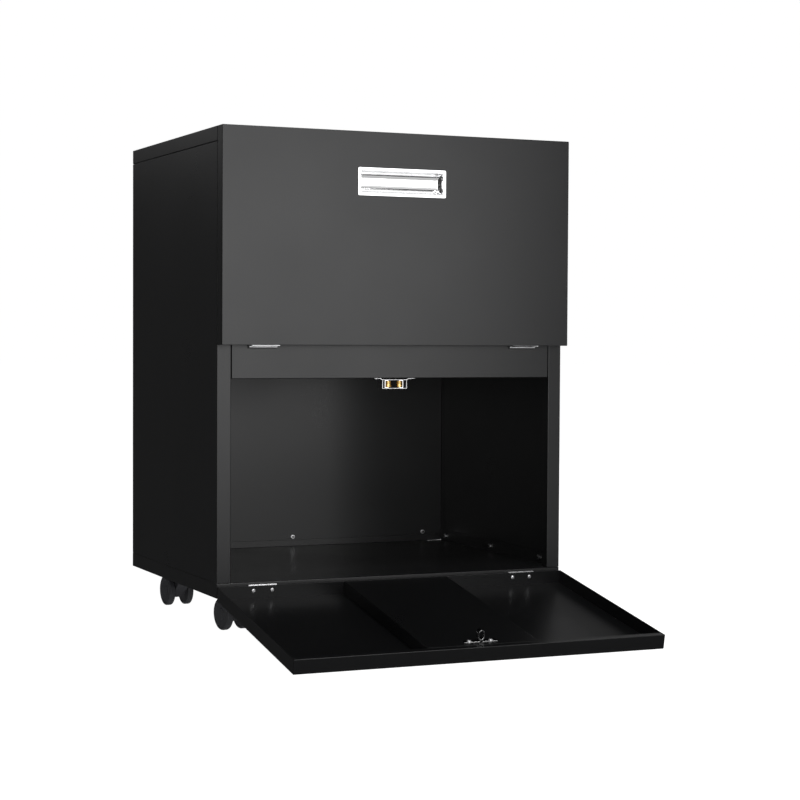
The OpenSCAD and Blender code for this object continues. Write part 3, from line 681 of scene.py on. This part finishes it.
class DROPBOX_OT_fasteners(bpy.types.Operator):
    """Makes the screws, rivets and nuts"""
    bl_idname = "dropbox.fasteners"
    bl_label = "Screws, rivets and nuts"

    def execute(self, context):
        self.hinge_screws()
        self.door_screws()
        self.screws_from_below("catch_screws", 1.5 * MM)
        self.catch_rivets()
        self.nuts()
        self.screws_from_below("caster_screws", 2 * MM)
        return {"FINISHED"}

    def cross_recess(self, piece, at, width, depth):
        """Cuts a cross-shaped drive recess down from z = at."""
        slot = 0.24 * width
        blades = []
        for turn in (0, math.pi / 2):
            bpy.ops.object.select_all(action="DESELECT")
            bpy.ops.mesh.primitive_cube_add(size=1, location=(0, 0, at), rotation=(0, 0, turn))
            blade = bpy.context.object
            blade.scale = (width, slot, depth * 2)
            bpy.ops.object.transform_apply(location=True, rotation=True, scale=True)
            blades.append(blade)
        for blade in blades:
            apply_modifier(piece, "BOOLEAN", operation="DIFFERENCE", object=blade, solver="EXACT")
            bpy.data.objects.remove(blade)

    def pan_screw(self, name, head, tall, thread, length):
        """A domed head standing on z = 0 over a threaded shank towards -Z."""
        tip, pitch, root = thread * 0.4, thread * 0.35, thread * 0.88
        neck, rim = 0.4 * MM, tall * 0.3
        outline = [(0, -length), (thread * 0.7, -length), (thread, tip - length)]
        for turn in range(int((length - tip - neck) / pitch)):
            z = tip - length + turn * pitch
            outline += [(root, z + pitch * 0.5), (thread, z + pitch)]
        outline += [(thread, 0), (head, 0), (head, rim)]
        outline += [(head * math.cos(angle), rim + (tall - rim) * math.sin(angle))
                    for angle in arc(math.pi / 2, 6)]
        piece = turned(name, outline, 32)
        self.cross_recess(piece, tall, head * 1.1, tall * 0.5)
        return piece

    def copies(self, node, model, places):
        """Copies a model to each place and removes the model."""
        doubles = []
        for place in places:
            double = own_copy(model, model.name)
            settle(double, door_turn(node) @ place)
            doubles.append(double)
        bpy.data.objects.remove(model)
        return doubles

    def stand_for(self, node, pieces):
        """Joins pieces into one that stands for a node."""
        finish(joined(node + "_made", pieces), material_for(node), node, smooth=40)

    def hinge_screws(self):
        node = "fixed_leaf_screws"
        low, high = solids(node)[0]
        head, length = (high.x - low.x) / 2, high.y - low.y
        thread, lip = 2 * MM, 1.2 * MM
        tip = thread * 0.6
        outline = [(0, -length), (tip, -length), (thread, tip - length), (thread, -lip), (head, 0),
                   (head * 0.6, 0), (0, 0)]
        model = turned("countersunk_screw", outline, 32)
        self.cross_recess(model, 0, head * 1.1, 0.7 * MM)
        places = [centred(low, high, y=low.y) @ pointing((0, -1, 0)) for low, high in solids(node)]
        self.stand_for(node, self.copies(node, model, places))

    def door_screws(self):
        """The strike's screws near a door's middle, and its hinges' screws near its ends."""
        head, tall, thread = 3.5 * MM, 2 * MM, 2 * MM
        strike_reach = 100 * MM    # the strike's screws are nearer the middle than this
        for node in ("upper_flap_screws", "lower_door_screws"):
            strike_places, hinge_places = [], []
            for low, high in solids(node):
                if abs((low.x + high.x) / 2) < strike_reach:
                    strike_places.append(centred(low, high, y=high.y - tall) @ pointing((0, 1, 0)))
                    strike_length = high.y - low.y - tall
                else:
                    hinge_places.append(centred(low, high, z=high.z - tall))
                    hinge_length = high.z - low.z - tall
            screws = []
            for places, length in ((strike_places, strike_length), (hinge_places, hinge_length)):
                model = self.pan_screw("pan_screw", head, tall, thread, length)
                screws += self.copies(node, model, places)
            self.stand_for(node, screws)

    def screws_from_below(self, node, thread):
        """Screws that are driven up, with their heads down."""
        tall = 1.6 * MM
        low, high = solids(node)[0]
        model = self.pan_screw(node[:-1], (high.x - low.x) / 2, tall, thread, high.z - low.z - tall)
        places = [centred(low, high, z=low.z + tall) @ pointing((0, 0, -1))
                  for low, high in solids(node)]
        self.stand_for(node, self.copies(node, model, places))

    def catch_rivets(self):
        node = "catch_rivets"
        low, high = solids(node)[0]
        head, length, dome, shank = (high.x - low.x) / 2, high.z - low.z, 0.7 * MM, 1.2 * MM
        half = [(0, 0), (head * 0.6, dome * 0.15), (head * 0.9, dome * 0.5), (head, dome),
                (shank, dome)]
        model = turned("catch_rivet", mirrored(half, length), 32)
        places = [centred(low, high, z=low.z) for low, high in solids(node)]
        self.stand_for(node, self.copies(node, model, places))

    def nuts(self):
        """Hexagon nuts with chamfered corners, each on its stud."""
        node = "panel_nuts"
        across, tall, bore, chamfer_rise, past = 4 * MM, 3 * MM, 2.05 * MM, 0.45 * MM, MM
        bpy.ops.object.select_all(action="DESELECT")
        bpy.ops.mesh.primitive_cylinder_add(vertices=6, radius=across, depth=tall,
                                            location=(0, 0, tall / 2))
        bpy.ops.object.transform_apply(location=True, rotation=True, scale=True)
        model = bpy.context.object
        half = [(0, 0), (across * 0.86, 0), (across * 1.02, chamfer_rise)]
        chamfer = turned("nut_chamfer", mirrored(half, tall))
        apply_modifier(model, "BOOLEAN", operation="INTERSECT", object=chamfer, solver="EXACT")
        drill = [(0, -past), (bore, -past), (bore, tall + past), (0, tall + past)]
        hole = turned("nut_hole", drill, 32)
        apply_modifier(model, "BOOLEAN", operation="DIFFERENCE", object=hole, solver="EXACT")
        bpy.data.objects.remove(chamfer)
        bpy.data.objects.remove(hole)
        places = []
        for low, high in solids(node):
            thin = min("xyz", key=lambda axis: getattr(high - low, axis))
            direction = Vector((0, 0, 0))
            setattr(direction, thin, 1)
            base = centred(low, high, **{thin: getattr(low, thin)})
            places.append(base @ pointing(direction) @ Matrix.Rotation(math.pi / 6, 4, "Z"))
        self.stand_for(node, self.copies(node, model, places))


class DROPBOX_OT_casters(bpy.types.Operator):
    """Makes the twin-wheel casters"""
    bl_idname = "dropbox.casters"
    bl_label = "Casters"

    # The share of a wheel's radius and the depth in millimetres of its face's points: the rim, its
    # groove, the dished disc and the hub cap.
    FACE = ((0.86, 0), (0.845, 0.7), (0.82, 0.7), (0.80, 0.25), (0.42, 0.9), (0.36, 0.9),
            (0.34, 0.35), (0.12, 0.1), (0, 0.1))

    def execute(self, context):
        plates = "caster_plates"
        finish(eased_copy(plates, 0.8 * MM, 0.4 * MM), material_for(plates), plates)
        for corner in CORNERS:
            hood = corner + "_hood"
            finish(eased_copy(hood, 1.6 * MM, 0.5 * MM), material_for(hood), hood, smooth=50)
            axle = corner + "_axle"
            finish(eased_copy(axle, 0.4 * MM, 0.1 * MM), material_for(axle), axle)
            for side in ("outer", "inner"):
                self.wheel(corner, side)
        return {"FINISHED"}

    def wheel(self, corner, side):
        """A nylon disc with a rounded tread, a rim groove and a dished face with a hub cap."""
        node = f"{corner}_{side}_wheel"
        joint = JOINTS[f"{corner}_{side}_wheel_spin"]
        centre = Vector(joint["pos_m"])
        radius = (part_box(node)[1].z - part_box(node)[0].z) / 2
        wide, shoulder = 10.5 * MM, 2.4 * MM
        bore, blind, dish = 3.05 * MM, 8.8 * MM, 1.2 * MM
        outline = [(0, blind), (bore, blind), (bore, 0), (radius * 0.42, 0), (radius * 0.46, dish),
                   (radius * 0.84, dish), (radius * 0.88, 0), (radius - shoulder, 0)]
        for angle in arc(math.pi / 2, 5):
            outline.append((radius - shoulder * (1 - math.sin(angle)),
                            shoulder * (1 - math.cos(angle))))
        outline.append((radius, wide - shoulder))
        for angle in arc(math.pi / 2, 5):
            outline.append((radius - shoulder * (1 - math.cos(angle)),
                            wide - shoulder * (1 - math.sin(angle))))
        outline += [(radius * share, wide - sunk * MM) for share, sunk in self.FACE]
        piece = turned(node + "_moulded", outline, 72)
        outward = Vector(joint["axis"])
        low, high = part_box(corner + "_hood")
        if outward.dot(centre - (low + high) / 2) < 0:
            outward = -outward
        settle(piece, Matrix.Translation(centre - outward * wide / 2) @ pointing(outward))
        finish(piece, material_for(node), node)


class DROPBOX_OT_stage(bpy.types.Operator):
    """Sets the floor, the backdrop, the lights and the camera"""
    bl_idname = "dropbox.stage"
    bl_label = "Stage"

    # Each light's place, what it faces, its width and height, and its share of the key's power.
    CABINET = (0.0, 0.1, 0.45)
    LIGHTS = {
        "key_light": ((-0.2, -2.4, 0.74), CABINET, (3.3, 1.3), 1.0),
        "upper_light": ((-0.2, -2.2, 2.05), CABINET, (3.3, 1.3), 0.3),
        "bounce_light": ((0.2, -1.5, 0.02), (0.2, -1.5, 1.0), (2.6, 1.9), 0.25),
        "rear_light": ((2.4, 3.2, 2.0), CABINET, (3.0, 2.0), 0.05),
        "back_light": ((2.2, 3.4, 0.7), CABINET, (2.4, 1.2), 0.16),
        "left_light": ((-2.2, 3.2, 1.9), CABINET, (2.4, 1.6), 0.12),
        "right_light": ((3.0, 0.4, 1.0), CABINET, (1.8, 1.8), 0.2),
        "top_light": ((0.0, -1.0, 2.6), CABINET, (1.6, 0.7), 0.8),
    }

    def execute(self, context):
        stage = context.scene.drop_box_stage
        self.floor()
        self.backdrop()
        self.surroundings(stage.fill)
        self.camera(stage)
        context.scene.view_settings.view_transform = "Standard"
        for name, (place, target, size, share) in self.LIGHTS.items():
            self.area(name, place, target, size, stage.key * share)
        return {"FINISHED"}

    def floor(self):
        bpy.ops.object.select_all(action="DESELECT")
        bpy.ops.mesh.primitive_plane_add(size=60, location=(0, 0, 0))
        floor = bpy.context.object
        floor.name = "floor"
        floor.visible_glossy = False
        paint = Paint("floor_paper", Roughness=0.9, Emission_Color=(1, 1, 1, 1),
                      Emission_Strength=1.0)
        greys = (0.36, 0.36, 0.36), (0.4, 0.4, 0.4)
        paint.feed("Base Color", paint.blend(paint.noise(0.4), *greys))
        floor.data.materials.append(paint.material)

    def backdrop(self):
        """A white dome that only the camera sees, so that it lights nothing."""
        bpy.ops.object.select_all(action="DESELECT")
        bpy.ops.mesh.primitive_uv_sphere_add(segments=48, ring_count=24, radius=29)
        dome = bpy.context.object
        dome.name = "backdrop"
        dome.visible_diffuse = False
        dome.visible_glossy = False
        dome.visible_shadow = False
        paint = Paint("backdrop_white", Base_Color=(0, 0, 0, 1), Emission_Color=(1, 1, 1, 1),
                      Emission_Strength=1.0)
        dome.data.materials.append(paint.material)

    def surroundings(self, strength):
        world = bpy.data.worlds.new("room")
        world.use_nodes = True
        background = world.node_tree.nodes["Background"]
        background.inputs["Color"].default_value = (1, 1, 1, 1)
        background.inputs["Strength"].default_value = strength
        bpy.context.scene.world = world

    def area(self, name, place, target, size, power):
        light = bpy.data.lights.new(name, "AREA")
        light.shape = "RECTANGLE"
        light.size, light.size_y = size
        light.energy = power
        lamp = bpy.data.objects.new(name, light)
        bpy.context.scene.collection.objects.link(lamp)
        lamp.visible_camera = False
        lamp.location = place
        lamp.rotation_euler = (Vector(target) - Vector(place)).to_track_quat("-Z", "Y").to_euler()

    def camera(self, stage):
        camera = bpy.data.cameras.new("camera")
        camera.lens = stage.lens
        camera.sensor_width = 36
        camera.clip_end = 100
        eye = bpy.data.objects.new("camera", camera)
        bpy.context.scene.collection.objects.link(eye)
        level = Matrix.Rotation(math.pi / 2 - stage.pitch, 4, "X")
        heading = Matrix.Translation(stage.eye) @ Matrix.Rotation(-stage.yaw, 4, "Z")
        eye.matrix_world = heading @ level @ Matrix.Rotation(stage.roll, 4, "Z")
        bpy.context.scene.camera = eye


class DROPBOX_PT_panel(bpy.types.Panel):
    """Lists the steps that build the drop box"""
    bl_label = "Parcel drop box"
    bl_idname = "DROPBOX_PT_panel"
    bl_space_type = "VIEW_3D"
    bl_region_type = "UI"
    bl_category = "Drop box"

    def draw(self, context):
        layout = self.layout
        for step in STEPS:
            layout.operator(step.bl_idname)
        scene = context.scene
        for group in (scene.drop_box_look, scene.drop_box_sizes, scene.drop_box_stage):
            box = layout.box()
            for name in group.__annotations__:
                box.prop(group, name)


STEPS = (DROPBOX_OT_shells, DROPBOX_OT_pulls, DROPBOX_OT_strikes, DROPBOX_OT_catches,
         DROPBOX_OT_hinges, DROPBOX_OT_fasteners, DROPBOX_OT_casters, DROPBOX_OT_stage)
CLASSES = (DropBoxLook, DropBoxSizes, DropBoxStage, *STEPS, DROPBOX_PT_panel)


def register():
    for cls in CLASSES:
        bpy.utils.register_class(cls)
    bpy.types.Scene.drop_box_look = bpy.props.PointerProperty(type=DropBoxLook)
    bpy.types.Scene.drop_box_sizes = bpy.props.PointerProperty(type=DropBoxSizes)
    bpy.types.Scene.drop_box_stage = bpy.props.PointerProperty(type=DropBoxStage)


def unregister():
    del bpy.types.Scene.drop_box_stage
    del bpy.types.Scene.drop_box_sizes
    del bpy.types.Scene.drop_box_look
    for cls in reversed(CLASSES):
        bpy.utils.unregister_class(cls)


def main():
    register()
    bpy.ops.dropbox.shells()
    bpy.ops.dropbox.pulls()
    bpy.ops.dropbox.strikes()
    bpy.ops.dropbox.catches()
    bpy.ops.dropbox.hinges()
    bpy.ops.dropbox.fasteners()
    bpy.ops.dropbox.casters()
    bpy.ops.dropbox.stage()


if __name__ == "__main__":
    main()
